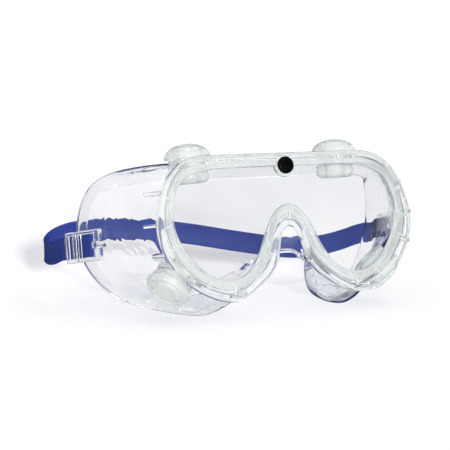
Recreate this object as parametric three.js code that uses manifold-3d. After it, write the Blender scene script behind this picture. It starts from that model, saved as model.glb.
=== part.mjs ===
// Chemical splash goggles: clear soft body, clear lens, four capped vents, strap buckles, headband.
// Millimetres, +Z up, front of the goggles towards -Y, the wearer's left towards +X.
// Design points are measured from the nose-arch apex of the lens opening; toWorld() moves
// them so that the goggles rest on z = 0.
import * as THREE from 'three';
import Module from 'manifold-3d';

const { euclideanModulo, smoothstep, degToRad } = THREE.MathUtils;

// ---- driving dimensions ----
const FLOOR_Z = 55.7; // height of the nose-arch apex above the table
const CENTRE_Y = 45.63; // depth of the box centre behind the nose-arch apex
const TILT = degToRad(14); // the front plane leans back at the top
const WALL = 1.8; // body wall thickness
const AROUND = 68; // sections round the body
const SIDES = [1, -1]; // sign of x: wearer's left, wearer's right

// Rim heights are measured forwards from the groove floor.
const RIM_DEPTH = 4.4; // rim thickness behind the groove floor
const SLOT_SHARE = 0.47; // lens slot depth, as a share of the rim band
const SLOT_FRONT = -0.95; // lens slot faces
const SLOT_BACK = -2.75;
const LENS_GAP = 0.3;

const VENT_HOLE_R = 6.4;
const VENT_STEM_R = 6.05;
const VENT_BORE_R = 4.4;
const VENT_GAP = 0.3;
const PAD_R = 9.6; // vent seat, from PAD_IN to PAD_OUT along the vent axis
const PAD_OUT = 1.7;
const PAD_IN = -WALL - 1.6;

const BUTTON_UP = 18.9; // button centre, up the front plane
const BUTTON_R = 4.3;
const BUTTON_STEM_R = 1.55;
const BOSS_R = 5.6;
const BOSS_FRONT = 0.9;

const STUD_Y = 37.1; // headed stud in the buckle
const STUD_Z = -20.1;
const STUD_R = 1.3;
const BUCKLE_X = 85.9; // buckle mid-plane at the stud

const STRAP_W = 11.4;
const STRAP_T = 1.2;

// Colour, roughness and opacity of each material
const LOOKS = {
  body: { color: 0xdfe9e8, roughness: 0.15, opacity: 0.35 },
  lens: { color: 0xf2f7f7, roughness: 0.05, opacity: 0.25 },
  button: { color: 0x080808, roughness: 0.35, opacity: 1 },
  ventBase: { color: 0xe8efec, roughness: 0.35, opacity: 0.6 },
  ventCap: { color: 0xe3ece8, roughness: 0.4, opacity: 0.8 },
  buckle: { color: 0xe9eef0, roughness: 0.1, opacity: 0.4 },
  strap: { color: 0x1f3fb0, roughness: 0.6, opacity: 1 },
};

// Stations round the left half of the outline, from the top centre to the nose apex:
// rim outside x,z | lens opening x,z | face edge x,y,z | outward bulge of the wall
const HALF_OUTLINE = [
  [0, 24.7, 0, 18.3, 0, 38, 17.6, 0.4],
  [19, 24.7, 19, 18.3, 22, 38.4, 17.6, 0.4],
  [37, 24.7, 37, 18.1, 44.5, 40.6, 17.4, 0.6],
  [47, 24.2, 45.2, 17.1, 59, 44.4, 16.6, 1.0],
  [54.5, 21.8, 51.2, 15.2, 71.5, 48.6, 14.6, 1.8],
  [60.5, 17, 55.9, 12.3, 80.4, 52.4, 10.2, 2.4],
  [65, 10, 59.3, 7.8, 85.8, 55.2, 2.8, 2.6],
  [68.4, 0.5, 61.4, 0.3, 88.6, 57.2, -8, 2.5],
  [69.8, -9, 61.6, -8.3, 89, 57.6, -19, 2.5],
  [67.8, -19.5, 58.9, -16.4, 86.6, 56.8, -30, 2.0],
  [62.5, -28.8, 54.4, -23.4, 81, 53.6, -40.3, 0],
  [55.5, -35.8, 48.9, -29.4, 72.2, 47.8, -48.8, -2],
  [47.5, -40.9, 43, -32.7, 62, 41, -53.6, 1.0],
  [40, -43.7, 37.5, -34.3, 52, 35.5, -56, 4.2],
  [33, -44.6, 32, -34.3, 43, 31.8, -56.3, 5.4],
  [26.3, -42.2, 26.5, -32.4, 35, 29.6, -55.1, 4.2],
  [19.4, -37.9, 21.6, -28.6, 27.4, 26.4, -50.4, 1.7],
  [13, -33.2, 18, -23.6, 22, 21.6, -43.8, 0.5],
  [8.7, -27.6, 15.4, -18.8, 17.6, 15.2, -36.8, 0],
  [6.9, -21.4, 12.6, -12.8, 14, 8.8, -29.8, 0],
  [5.3, -15.3, 8.9, -6.5, 9.8, 4.2, -25.8, 0],
  [2.9, -11.6, 4.6, -1.7, 5, 2.2, -23.3, 0],
  [0, -10.5, 0, 0, 0, 1.8, -22.7, 0],
];
const X_COLUMNS = [0, 2, 4];

const wasm = await Module();
wasm.setup();
const group = new THREE.Group();

// ---- vectors and frames ----
const vec = (x, y, z) => new THREE.Vector3(x, y, z);
const toWorld = (point) => vec(point.x, point.y - CENTRE_Y, point.z + FLOOR_Z);
const toDesign = (point) => vec(point.x, point.y + CENTRE_Y, point.z - FLOOR_Z);
const UP = vec(0, Math.sin(TILT), Math.cos(TILT)); // up the front plane
const FRONT = vec(0, -Math.cos(TILT), Math.sin(TILT)); // out of the front plane

// matrix with columns x, y, z, placed at a design point
const frameAt = (x, y, z, point) =>
  new THREE.Matrix4().makeBasis(x, y, z).setPosition(toWorld(point));
const shifted = (frame, x, y, z) =>
  frame.clone().multiply(new THREE.Matrix4().makeTranslation(x, y, z));
const facing = (direction, distance) =>
  frameAt(vec(1, 0, 0), UP, FRONT, direction.clone().multiplyScalar(distance));

// ---- solids ----
function solid(geometry) {
  const flat = geometry.index ? geometry.toNonIndexed() : geometry;
  const position = flat.getAttribute('position');
  const seen = new Map();
  const points = [];
  const corners = [];
  for (let i = 0; i < position.count; i++) {
    const point = [position.getX(i), position.getY(i), position.getZ(i)];
    const key = point.map((value) => Math.round(value * 1e4)).join(',');
    if (!seen.has(key)) {
      seen.set(key, points.length / 3);
      points.push(...point);
    }
    corners.push(seen.get(key));
  }
  // triangles that the weld has collapsed are left out
  const triangles = [];
  for (let i = 0; i < corners.length; i += 3) {
    const triangle = corners.slice(i, i + 3);
    if (new Set(triangle).size === 3) triangles.push(...triangle);
  }
  return new wasm.Manifold(new wasm.Mesh({
    numProp: 3,
    vertProperties: new Float32Array(points),
    triVerts: new Uint32Array(triangles),
  }));
}

function signedVolume(geometry) {
  const position = geometry.getAttribute('position');
  const index = geometry.index.array;
  const corner = (i) => vec().fromBufferAttribute(position, index[i]);
  let volume = 0;
  for (let i = 0; i < index.length; i += 3) {
    volume += corner(i).dot(corner(i + 1).cross(corner(i + 2))) / 6;
  }
  return volume;
}

// skin over rings of points: a closed loop of rings, or a run with flat ends
function loft(rings, closed) {
  const size = rings[0].length;
  const count = rings.length;
  const last = count - 1;
  const id = (i, j) => (i % count) * size + (j % size);
  const index = [];
  for (let i = 0; i < (closed ? count : last); i++) {
    for (let j = 0; j < size; j++) {
      index.push(id(i, j), id(i + 1, j), id(i + 1, j + 1));
      index.push(id(i, j), id(i + 1, j + 1), id(i, j + 1));
    }
  }
  if (!closed) {
    for (let j = 1; j < size - 1; j++) {
      index.push(id(0, 0), id(0, j), id(0, j + 1));
      index.push(id(last, 0), id(last, j + 1), id(last, j));
    }
  }
  const points = rings.flat().flatMap((point) => point.toArray());
  const geometry = new THREE.BufferGeometry();
  geometry.setAttribute('position', new THREE.Float32BufferAttribute(points, 3));
  geometry.setIndex(index);
  if (signedVolume(geometry) < 0) {
    for (let i = 0; i < index.length; i += 3) {
      [index[i + 1], index[i + 2]] = [index[i + 2], index[i + 1]];
    }
    geometry.setIndex(index);
  }
  return solid(geometry);
}

// box given by half sizes along a frame
const boxAt = (halfX, halfY, halfZ, frame) =>
  solid(new THREE.BoxGeometry(2 * halfX, 2 * halfY, 2 * halfZ).applyMatrix4(frame));

// profile of [radius, height] turned about the third axis of a frame
function lathe(profile, segments, frame) {
  const points = profile.map(([radius, height]) => new THREE.Vector2(radius, height));
  const geometry = new THREE.LatheGeometry(points, segments).rotateX(Math.PI / 2);
  return solid(geometry.applyMatrix4(frame));
}
const rod = (radius, from, to, segments, frame) =>
  lathe([[0, from], [radius, from], [radius, to], [0, to]], segments, frame);

const addAll = (base, parts) => parts.reduce((sum, part) => sum.add(part), base);

function addMesh(name, manifold, look) {
  const { vertProperties, triVerts } = manifold.getMesh();
  const geometry = new THREE.BufferGeometry();
  const positions = new Float32Array(vertProperties);
  geometry.setAttribute('position', new THREE.BufferAttribute(positions, 3));
  geometry.setIndex(new THREE.BufferAttribute(new Uint32Array(triVerts), 1));
  const material = new THREE.MeshStandardMaterial({
    ...look, metalness: 0, transparent: look.opacity < 1,
  });
  const mesh = new THREE.Mesh(geometry, material);
  mesh.name = name;
  group.add(mesh);
}

// ---- outline: a closed smooth curve through the stations ----
const mirrorRow = (row) =>
  row.map((value, column) => (X_COLUMNS.includes(column) ? -value : value));
const OUTLINE = [...HALF_OUTLINE, ...HALF_OUTLINE.slice(1, -1).reverse().map(mirrorRow)];

// curve parameter of each station: a mix of the distances along the rim and the face edge
const RIM_WEIGHT = 0.55;
const FACE_WEIGHT = 0.45;
const KNOTS = [0];
OUTLINE.forEach((row, i) => {
  const next = OUTLINE[(i + 1) % OUTLINE.length];
  const step = row.map((value, column) => value - next[column]);
  const rimStep = Math.hypot(step[0], step[1]);
  const faceStep = Math.hypot(step[4], step[5], step[6]);
  KNOTS.push(KNOTS[i] + RIM_WEIGHT * rimStep + FACE_WEIGHT * faceStep);
});
const TOTAL = KNOTS[OUTLINE.length];

// station interpolated at a distance along the outline (cubic Hermite)
function stationAt(along) {
  const count = OUTLINE.length;
  const place = euclideanModulo(along, TOTAL);
  let i = 0;
  while (i < count - 1 && place >= KNOTS[i + 1]) i++;
  const around = [i - 1, i, i + 1, i + 2];
  const rows = around.map((j) => OUTLINE[euclideanModulo(j, count)]);
  const knots = around.map(
    (j) => KNOTS[euclideanModulo(j, count)] + TOTAL * Math.floor(j / count));
  const span = knots[2] - knots[1];
  const s = (place - knots[1]) / span;
  const startWeight = (1 + 2 * s) * (1 - s) ** 2;
  const startSlopeWeight = s * (1 - s) ** 2;
  const endWeight = s * s * (3 - 2 * s);
  const endSlopeWeight = s * s * (s - 1);
  return rows[1].map((_, column) => {
    const [before, start, end, after] = rows.map((row) => row[column]);
    const startSlope = span * (end - before) / (knots[2] - knots[0]);
    const endSlope = span * (after - start) / (knots[3] - knots[1]);
    return startWeight * start + startSlopeWeight * startSlope
      + endWeight * end + endSlopeWeight * endSlope;
  });
}
const sampleOutline = (make) =>
  Array.from({ length: AROUND }, (_, i) => make((i / AROUND) * TOTAL));

// point of the rim: share of the band (0 lens opening, 1 outside), height above the groove floor
function rimPoint(along, share, height) {
  const [outerX, outerZ, innerX, innerZ] = stationAt(along);
  const rise = (innerZ + (outerZ - innerZ) * share) / Math.cos(TILT);
  return vec(innerX + (outerX - innerX) * share, 0, 0)
    .addScaledVector(UP, rise)
    .addScaledVector(FRONT, height);
}
function bandWidth(along) {
  const [outerX, outerZ, innerX, innerZ] = stationAt(along);
  return Math.hypot(outerX - innerX, (outerZ - innerZ) / Math.cos(TILT));
}
// direction across the rim, away from the lens
const acrossRim = (along) => rimPoint(along, 1, 0).sub(rimPoint(along, 0, 0)).normalize();

// frame with x across the rim and z out of the front plane
function rimFrame(along) {
  const across = acrossRim(along);
  return frameAt(across, FRONT.clone().cross(across), FRONT, rimPoint(along, 0.5, 0));
}

// distance along the outline whose mid-rim point lies nearest to x, z
function nearestAlong(x, z) {
  let best = 0;
  let bestDistance = Infinity;
  for (let along = 0; along < TOTAL; along += 0.25) {
    const point = rimPoint(along, 0.5, 0);
    const distance = Math.hypot(point.x - x, point.z - z);
    if (distance < bestDistance) {
      bestDistance = distance;
      best = along;
    }
  }
  return best;
}

// outer wall surface: share 0 at the rim, 1 at the face edge
function wallPoint(along, share) {
  const [, , , , faceX, faceY, faceZ, bulge] = stationAt(along);
  return rimPoint(along, 0.64, -RIM_DEPTH + 0.2)
    .lerp(vec(faceX, faceY, faceZ), share)
    .addScaledVector(acrossRim(along), bulge * 4 * share * (1 - share));
}
// wall point with its rearward direction and its outward normal
function wallFrame(along, share) {
  const stepAlong = 0.4;
  const stepShare = 0.01;
  const alongWall = wallPoint(along + stepAlong, share).sub(wallPoint(along - stepAlong, share));
  const backWall = wallPoint(along, share + stepShare).sub(wallPoint(along, share - stepShare));
  const normal = alongWall.cross(backWall).normalize();
  if (normal.dot(acrossRim(along)) < 0) normal.negate();
  return { point: wallPoint(along, share), rearward: backWall.normalize(), normal };
}
function offWall(along, share, distance) {
  const { point, normal } = wallFrame(along, share);
  return point.addScaledVector(normal, distance);
}

// ---- body section ----
// rim profiles: share of the band, height above the groove floor
const RIM_OUTSIDE = [
  [0, SLOT_FRONT], [0, 0.3], [0.1, 1.1], [0.24, 1.1], [0.36, 0], [0.62, 0],
  [0.74, 0.9], [0.88, 0.9], [1, -0.3], [1, -3.4], [0.8, -RIM_DEPTH],
];
const RIM_INSIDE = [
  [0.36, -RIM_DEPTH - 0.6], [0.05, -RIM_DEPTH - 0.1], [0, -3.7],
  [0, SLOT_BACK], [SLOT_SHARE, SLOT_BACK], [SLOT_SHARE, SLOT_FRONT],
];
const WALL_SHARES = [0.1, 0.4, 0.7];

// rolled face edge
const LIP = {
  radius: 4.5, // outer radius of the roll
  turn: degToRad(105),
  end: 2.5, // straight length after the roll
  noseHalf: 24, // the roll tightens within this distance of the centre
  noseFade: 12, // over this length
  noseRadiusCut: 0.48, // share taken off the radius at the nose
  noseEndCut: 0.6, // share taken off the straight length
};

function lipPoints(along) {
  const [, , , , faceX, , faceZ] = stationAt(along);
  const tight = faceZ > 0 ? 0 : smoothstep(LIP.noseHalf - Math.abs(faceX), 0, LIP.noseFade);
  const radius = LIP.radius * (1 - LIP.noseRadiusCut * tight);
  const end = LIP.end * (1 - LIP.noseEndCut * tight);
  const { point, rearward, normal } = wallFrame(along, 1);
  const centre = point.addScaledVector(normal, -radius);
  const arc = (arcRadius, share) => centre.clone()
    .addScaledVector(normal, arcRadius * Math.cos(LIP.turn * share))
    .addScaledVector(rearward, arcRadius * Math.sin(LIP.turn * share));
  const straight = normal.clone().multiplyScalar(-Math.sin(LIP.turn))
    .addScaledVector(rearward, Math.cos(LIP.turn))
    .multiplyScalar(end);
  const inner = radius - WALL;
  return [
    ...[0, 0.36, 0.7, 1].map((share) => arc(radius, share)),
    arc(radius, 1).add(straight),
    arc(inner, 1).add(straight),
    ...[1, 0.5, 0].map((share) => arc(inner, share)),
  ];
}

function bodySection(along) {
  const onRim = ([share, height]) => rimPoint(along, share, height);
  return [
    ...RIM_OUTSIDE.map(onRim),
    ...WALL_SHARES.map((share) => wallPoint(along, share)),
    ...lipPoints(along),
    ...WALL_SHARES.toReversed().map((share) => offWall(along, share, -WALL)),
    ...RIM_INSIDE.map(onRim),
  ].map(toWorld);
}

// ---- frames of the fittings ----
// vent frame: origin on the wall, z outwards along the vent axis
function ventFrame({ centre, axis }, side) {
  const z = vec(side * axis[0], axis[1], axis[2]).normalize();
  const x = vec(0, 1, 0).addScaledVector(z, -z.y).normalize();
  return frameAt(x, z.clone().cross(x), z, vec(side * centre[0], centre[1], centre[2]));
}
const TOP_VENT = { centre: [41.6, 28, 19.4], axis: [0.03, 0.17, 0.985] };
const LOWER_VENT = { centre: [58, 10.6, -37.2], axis: [0.64, -0.36, -0.68] };
// extra: added depth of the vent base inside the body
const VENTS = [
  { name: 'top_left', frame: ventFrame(TOP_VENT, 1), extra: 2.6 },
  { name: 'top_right', frame: ventFrame(TOP_VENT, -1), extra: 2.6 },
  { name: 'lower_left', frame: ventFrame(LOWER_VENT, 1), extra: 0 },
  { name: 'lower_right', frame: ventFrame(LOWER_VENT, -1), extra: 0 },
];

const BUTTON_FRAME = facing(UP, BUTTON_UP);
const buttonHole = (radius) => rod(radius, -12, 6, 20, BUTTON_FRAME);

// frame on the centre plane with z outwards to one side, through the stud
const studFrame = (side) =>
  frameAt(vec(0, side, 0), vec(0, 0, 1), vec(side, 0, 0), vec(0, STUD_Y, STUD_Z));

// ---- goggle body ----
// cross ribs in the rim groove: x, z on the left side
const RIBS = [
  [39, 21.5], [30.5, 21.5], [64, 5.2], [65.2, -8.3], [63, -18.6], [47.3, -36.6], [33.7, -39.6],
];
const RIB_HALF_SHARE = 0.2; // half length, as a share of the rim band
const RIB_HALF_HEIGHT = 0.75;
function rib(x, z, halfWidth) {
  const along = nearestAlong(x, z);
  const halfLength = bandWidth(along) * RIB_HALF_SHARE;
  return boxAt(halfLength, halfWidth, RIB_HALF_HEIGHT, rimFrame(along));
}

// fins from the outside of the rim back along the wall: x, z, wall share at the rear end
const FINS = [[63.5, 7.4, 0.19], [65.6, -6.6, 0.15], [62.8, -19.5, 0.155]];
const FIN = { front: -0.5, proud: 1, rearProud: 1.6, sunk: 0.9, rootShare: 0.02, halfWidth: 0.85 };
function fin(x, z, rearShare) {
  const along = nearestAlong(x, z);
  const across = acrossRim(along);
  const quad = [
    rimPoint(along, 1, FIN.front).addScaledVector(across, FIN.proud),
    offWall(along, rearShare, FIN.rearProud),
    offWall(along, rearShare, -FIN.sunk),
    offWall(along, FIN.rootShare, -FIN.sunk),
  ];
  const sideways = quad[1].clone().sub(quad[0]).cross(across).normalize()
    .multiplyScalar(FIN.halfWidth);
  return loft([
    quad.map((point) => toWorld(point.clone().add(sideways))),
    quad.map((point) => toWorld(point.clone().sub(sideways))),
  ], false);
}

// headed stud that carries a buckle; heights are distances from the centre plane
function stud(side) {
  const root = 81.6; // where the stud grows out of the wall
  const neck = BUCKLE_X + 2.1;
  const headR = 2;
  return lathe([
    [0, root], [STUD_R, root], [STUD_R, neck], [headR, neck],
    [headR, neck + 0.6], [headR - 0.4, neck + 0.9], [0, neck + 0.9],
  ], 20, studFrame(side));
}

function goggleBody() {
  const bothSides = (table, make) =>
    table.flatMap(([x, ...rest]) => SIDES.map((side) => make(side * x, ...rest)));
  let body = loft(sampleOutline(bodySection), true);
  body = addAll(body, VENTS.map(({ frame }) => rod(PAD_R, PAD_IN, PAD_OUT, 28, frame)));
  for (const { frame } of VENTS) body = body.subtract(rod(VENT_HOLE_R, -12, 12, 28, frame));
  body = addAll(body, bothSides(RIBS, (x, z) => rib(x, z, 0.7)));
  body = body.add(rib(0, -5, 0.6)); // over the nose
  body = addAll(body, bothSides(FINS, fin));
  // boss that carries the brow button, and its hole
  body = body.add(rod(BOSS_R, SLOT_FRONT, BOSS_FRONT, 28, BUTTON_FRAME));
  body = body.subtract(buttonHole(1.9));
  body = addAll(body, SIDES.map(stud));
  // flat rests under the cheeks: everything below the table is cut off
  return body.subtract(solid(new THREE.BoxGeometry(240, 200, 20).translate(0, 0, -10)));
}

// ---- lens: plate in the slot, with a notch open at the top for the button ----
function lens() {
  const shape = new THREE.Shape(sampleOutline((along) => {
    const point = rimPoint(along, SLOT_SHARE - LENS_GAP / bandWidth(along), 0);
    return new THREE.Vector2(point.x, point.dot(UP));
  }));
  const plate = new THREE.ExtrudeGeometry(shape, {
    depth: SLOT_FRONT - SLOT_BACK - 2 * LENS_GAP,
    bevelEnabled: false,
    curveSegments: 1,
  }).applyMatrix4(facing(FRONT, SLOT_BACK + LENS_GAP));
  const notchR = 2.2;
  const notchHalf = 5; // half length of the straight part
  return solid(plate)
    .subtract(buttonHole(notchR))
    .subtract(boxAt(notchR, notchHalf, 6, shifted(BUTTON_FRAME, 0, notchHalf, 0)));
}

// ---- brow button ----
function browButton() {
  return lathe([
    [0, -4.2], [BUTTON_STEM_R, -4.2], [BUTTON_STEM_R, 1.2], [BUTTON_R, 1.2],
    [BUTTON_R, 2.1], [BUTTON_R - 0.6, 2.7], [2, 3.1], [0, 3.2],
  ], 28, BUTTON_FRAME);
}

// ---- vents ----
// flanged tube through the wall, with its flange inside the body
function ventBase({ frame, extra }) {
  const flangeR = 9.8;
  const bottom = PAD_IN - 4.4 - extra;
  const top = PAD_OUT + 3.2;
  return lathe([
    [VENT_BORE_R, bottom], [flangeR - 1.6, bottom], [flangeR, PAD_IN - 3.4 - extra * 0.7],
    [flangeR, PAD_IN - 1.6], [flangeR - 1, PAD_IN - VENT_GAP], [VENT_STEM_R, PAD_IN - VENT_GAP],
    [VENT_STEM_R, top], [VENT_BORE_R, top], [VENT_BORE_R, bottom],
  ], 24, frame);
}

// domed cap over the tube, with a collar round it and an outer skirt
function ventCap({ frame }) {
  const capR = 11.6;
  const capHeight = 6.6;
  const collarInner = VENT_STEM_R + VENT_GAP;
  const collarOuter = 7.8;
  // radius, height above the pad
  return lathe([
    [collarInner, 1], [collarOuter, 1], [collarOuter, capHeight - 3.4],
    [capR - 2.2, capHeight - 3.4], [capR - 1.5, 0.9], [capR, 0.9], [capR, 2.3],
    [capR - 0.6, 2.9], [capR - 1.2, 4.2], [capR - 2.9, 5.4], [capR - 5.4, 6.2], [0, capHeight],
    [0, capHeight - 1.8], [collarInner, capHeight - 1.8], [collarInner, 1],
  ].map(([radius, height]) => [radius, PAD_OUT + height]), 26, frame);
}

// ---- buckles: open frames in a plane turned with the side wall ----
const BUCKLE = {
  turn: degToRad(14.5), // splays outwards to the rear
  drop: degToRad(11), // hangs a little at the rear
  height: 15.6,
  thickness: 2.3,
  front: -2.5, // ends, rearwards from the stud
  rear: 27.3,
  plateRear: 2.2, // rear edge of the solid front plate
  railHalf: 0.9,
  barHalfThickness: 0.75,
};
// cross bars: distance behind the stud, half width, outward offset
const BUCKLE_BARS = [
  [BUCKLE.rear - 0.9, 0.9, 0.35], [20, 0.8, 0.35], [15.4, 0.8, 0.35], [4.9, 0.8, 0],
];

// buckle frame: origin at the stud, x rearwards, y across the band, z outwards
function buckleFrame(side) {
  const drop = new THREE.Matrix4().makeRotationX(-BUCKLE.drop);
  const sin = Math.sin(BUCKLE.turn);
  const cos = Math.cos(BUCKLE.turn);
  const rearward = vec(side * sin, cos, 0).applyMatrix4(drop);
  const outward = vec(side * cos, -sin, 0).applyMatrix4(drop);
  const origin = vec(side * BUCKLE_X, STUD_Y, STUD_Z);
  return frameAt(rearward, outward.clone().cross(rearward), outward, origin);
}

function buckle(side) {
  const frame = buckleFrame(side);
  const halfHeight = BUCKLE.height / 2;
  const halfThickness = BUCKLE.thickness / 2;
  // box from the front end of the buckle back to x = rear
  const piece = (rear, halfY, y) => boxAt((rear - BUCKLE.front) / 2, halfY, halfThickness,
    shifted(frame, (rear + BUCKLE.front) / 2, y, 0));
  const railY = halfHeight - BUCKLE.railHalf;
  const bars = BUCKLE_BARS.map(([x, halfWidth, lift]) =>
    boxAt(halfWidth, halfHeight - 0.4, BUCKLE.barHalfThickness, shifted(frame, x, 0, lift)));
  return addAll(piece(BUCKLE.rear, BUCKLE.railHalf, railY), [
    piece(BUCKLE.rear, BUCKLE.railHalf, -railY),
    piece(BUCKLE.plateRear, halfHeight, 0),
    ...bars,
  ]).subtract(rod(STUD_R + 0.3, 70, 100, 20, studFrame(side)));
}

// ---- headband and strap ends: flat band swept along its centre line ----
// strap end inside a buckle: x rearwards, z outwards in the buckle frame
const STRAP_END = [
  [3.15, 0.1], [3.35, 1.2], [4.3, 1.75], [9.8, 1.75], [11.4, 1.2], [12.8, -0.4],
  [14.2, -1.2], [17.2, -1.35], [22, -1.35], [27.4, -1.3], [29.6, -1.1],
];
// headband centre line x, y, z, from the right side round the back to the left
const HEADBAND = [
  [-94.9, 80, -29.8], [-94.92, 90, -31], [-93.6, 97.4, -29.8], [-88, 101.6, -26.2],
  [-78.5, 101.6, -22.6], [-60, 97.6, -21], [-40, 93, -21.8], [-18, 87.6, -24.4],
  [10, 81.4, -29.6], [30, 77.4, -33], [46, 75.2, -34.8], [62, 75, -34],
  [76, 76.8, -32], [86, 79.2, -30.2], [91.8, 78.4, -29.2], [94.75, 74, -28.4],
];
const BAND_CORNERS = [[1, 1], [1, -1], [-1, -1], [-1, 1]];

function sweepBand(points, steps, upright) {
  const curve = new THREE.CatmullRomCurve3(points, false, 'centripetal');
  const rings = [];
  for (let i = 0; i <= steps; i++) {
    const centre = curve.getPointAt(i / steps);
    const tangent = curve.getTangentAt(i / steps);
    const up = upright.clone().addScaledVector(tangent, -tangent.dot(upright)).normalize();
    const out = tangent.clone().cross(up).normalize();
    rings.push(BAND_CORNERS.map(([upSign, outSign]) => toWorld(centre.clone()
      .addScaledVector(up, upSign * STRAP_W / 2)
      .addScaledVector(out, outSign * STRAP_T / 2))));
  }
  return loft(rings, false);
}

function strapPath(side) {
  const frame = buckleFrame(side);
  return STRAP_END.map(([x, z]) => toDesign(vec(x, 0, z).applyMatrix4(frame)));
}

function strapEnd(side) {
  return sweepBand(strapPath(side), 20, vec().setFromMatrixColumn(buckleFrame(side), 1));
}

function headband() {
  // the band starts just clear of the strap end and runs straight on from it
  const leadPoints = (side) => {
    const [previous, last] = strapPath(side).slice(-2);
    const direction = last.clone().sub(previous).normalize();
    return [0.4, 5].map((distance) => last.clone().addScaledVector(direction, distance));
  };
  const path = [
    ...leadPoints(-1),
    ...HEADBAND.map((point) => vec(...point)),
    ...leadPoints(1).reverse(),
  ];
  return sweepBand(path, 52, vec(0, 0, 1));
}

// ---- assembly ----
addMesh('goggle_body', goggleBody(), LOOKS.body);
addMesh('lens', lens(), LOOKS.lens);
addMesh('brow_button', browButton(), LOOKS.button);
for (const vent of VENTS) {
  addMesh(`vent_base_${vent.name}`, ventBase(vent), LOOKS.ventBase);
  addMesh(`vent_cap_${vent.name}`, ventCap(vent), LOOKS.ventCap);
}
addMesh('buckle_left', buckle(1), LOOKS.buckle);
addMesh('buckle_right', buckle(-1), LOOKS.buckle);
addMesh('strap_end_right', strapEnd(-1), LOOKS.strap);
addMesh('strap_end_left', strapEnd(1), LOOKS.strap);
addMesh('headband', headband(), LOOKS.strap);

export default group;
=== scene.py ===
"""Clear goggles: a soft vinyl body with a rolled face edge, a flat lens in a slot, four round
capped vents, a brow button, two clear buckles on side studs and a blue headband.

The goggles rest on the floor at z = 0 and look towards -Y; the headband runs behind them at +Y.
+X is the wearer's left. Sizes are in millimetres until make() turns them into metres.
"""
import math

import bmesh
import bpy
import numpy as np
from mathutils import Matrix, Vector
from mathutils.kdtree import KDTree


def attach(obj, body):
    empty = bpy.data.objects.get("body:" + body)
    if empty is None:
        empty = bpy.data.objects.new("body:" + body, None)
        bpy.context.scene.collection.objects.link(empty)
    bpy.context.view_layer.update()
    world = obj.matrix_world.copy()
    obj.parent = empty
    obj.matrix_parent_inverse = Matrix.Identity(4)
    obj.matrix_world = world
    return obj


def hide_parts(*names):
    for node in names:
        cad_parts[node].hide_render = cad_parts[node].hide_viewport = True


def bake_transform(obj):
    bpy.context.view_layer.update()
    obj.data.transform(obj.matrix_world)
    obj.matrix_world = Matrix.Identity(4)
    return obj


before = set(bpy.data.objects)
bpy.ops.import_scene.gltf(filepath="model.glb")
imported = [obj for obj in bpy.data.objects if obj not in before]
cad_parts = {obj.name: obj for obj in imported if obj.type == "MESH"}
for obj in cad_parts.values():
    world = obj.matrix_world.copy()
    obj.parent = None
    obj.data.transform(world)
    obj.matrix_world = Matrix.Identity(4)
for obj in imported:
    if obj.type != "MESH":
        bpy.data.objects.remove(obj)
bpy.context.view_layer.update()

MM = 0.001

# ---------------------------------------------------------------- sizes, mm
FLOOR_Z, CENTRE_Y = 55.7, 45.63
TILT = math.radians(14)  # the lens plane leans back by this much
WALL, RIM_DEPTH = 1.8, 4.4
OUTLINE_STEPS = 430

# rolled lip along the face edge
LIP_R, LIP_TURN, LIP_END = 4.5, math.radians(105), 2.5
NOSE_HALF, NOSE_FADE = 24, 12
NOSE_LIP_CUT, NOSE_END_CUT = 0.48, 0.6  # shares the roll and its end lose over the nose

# lens slot: share of the rim's width, and depths from the rim plane
SLOT_R, SLOT_FRONT, SLOT_BACK = 0.47, -0.95, -2.75
LENS_GAP, LENS_CHAMFER = 0.3, 0.15

# vents; heights run outwards along each vent's axis
VENT_CAP_R, VENT_CAP_H, VENT_HOLE_R, VENT_STEM_R, VENT_PAD_R = 11.6, 6.6, 6.4, 6.05, 9.6
VENT_GAP, VENT_BORE_R = 0.3, 4.4
PAD_OUT, PAD_IN = 1.7, -3.4

BUTTON_R, BUTTON_UP, BUTTON_SEAT_R, BUTTON_HOLE_R = 4.3, 18.9, 5.6, 1.9
LENS_NOTCH_R = 2.2

STUD_Y, STUD_Z, STUD_R, STUD_ROOT = 37.1, -20.1, 1.3, 81.6
BUCKLE_H, BUCKLE_T, BUCKLE_X = 15.6, 2.3, 85.9
BUCKLE_TURN, BUCKLE_DROP = math.radians(14.5), math.radians(11)
GRIP_BAR, MIDDLE_BAR, TOOTH_PITCH = 26.4, 20, 1.28  # bars' distance behind the stud, tooth pitch

STRAP_W, STRAP_T = 11.4, 1.2
STRAP_DIP, STRAP_SQUEEZE = 0.12, 0.14  # sunk middle; share of thickness lost between the bars

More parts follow.
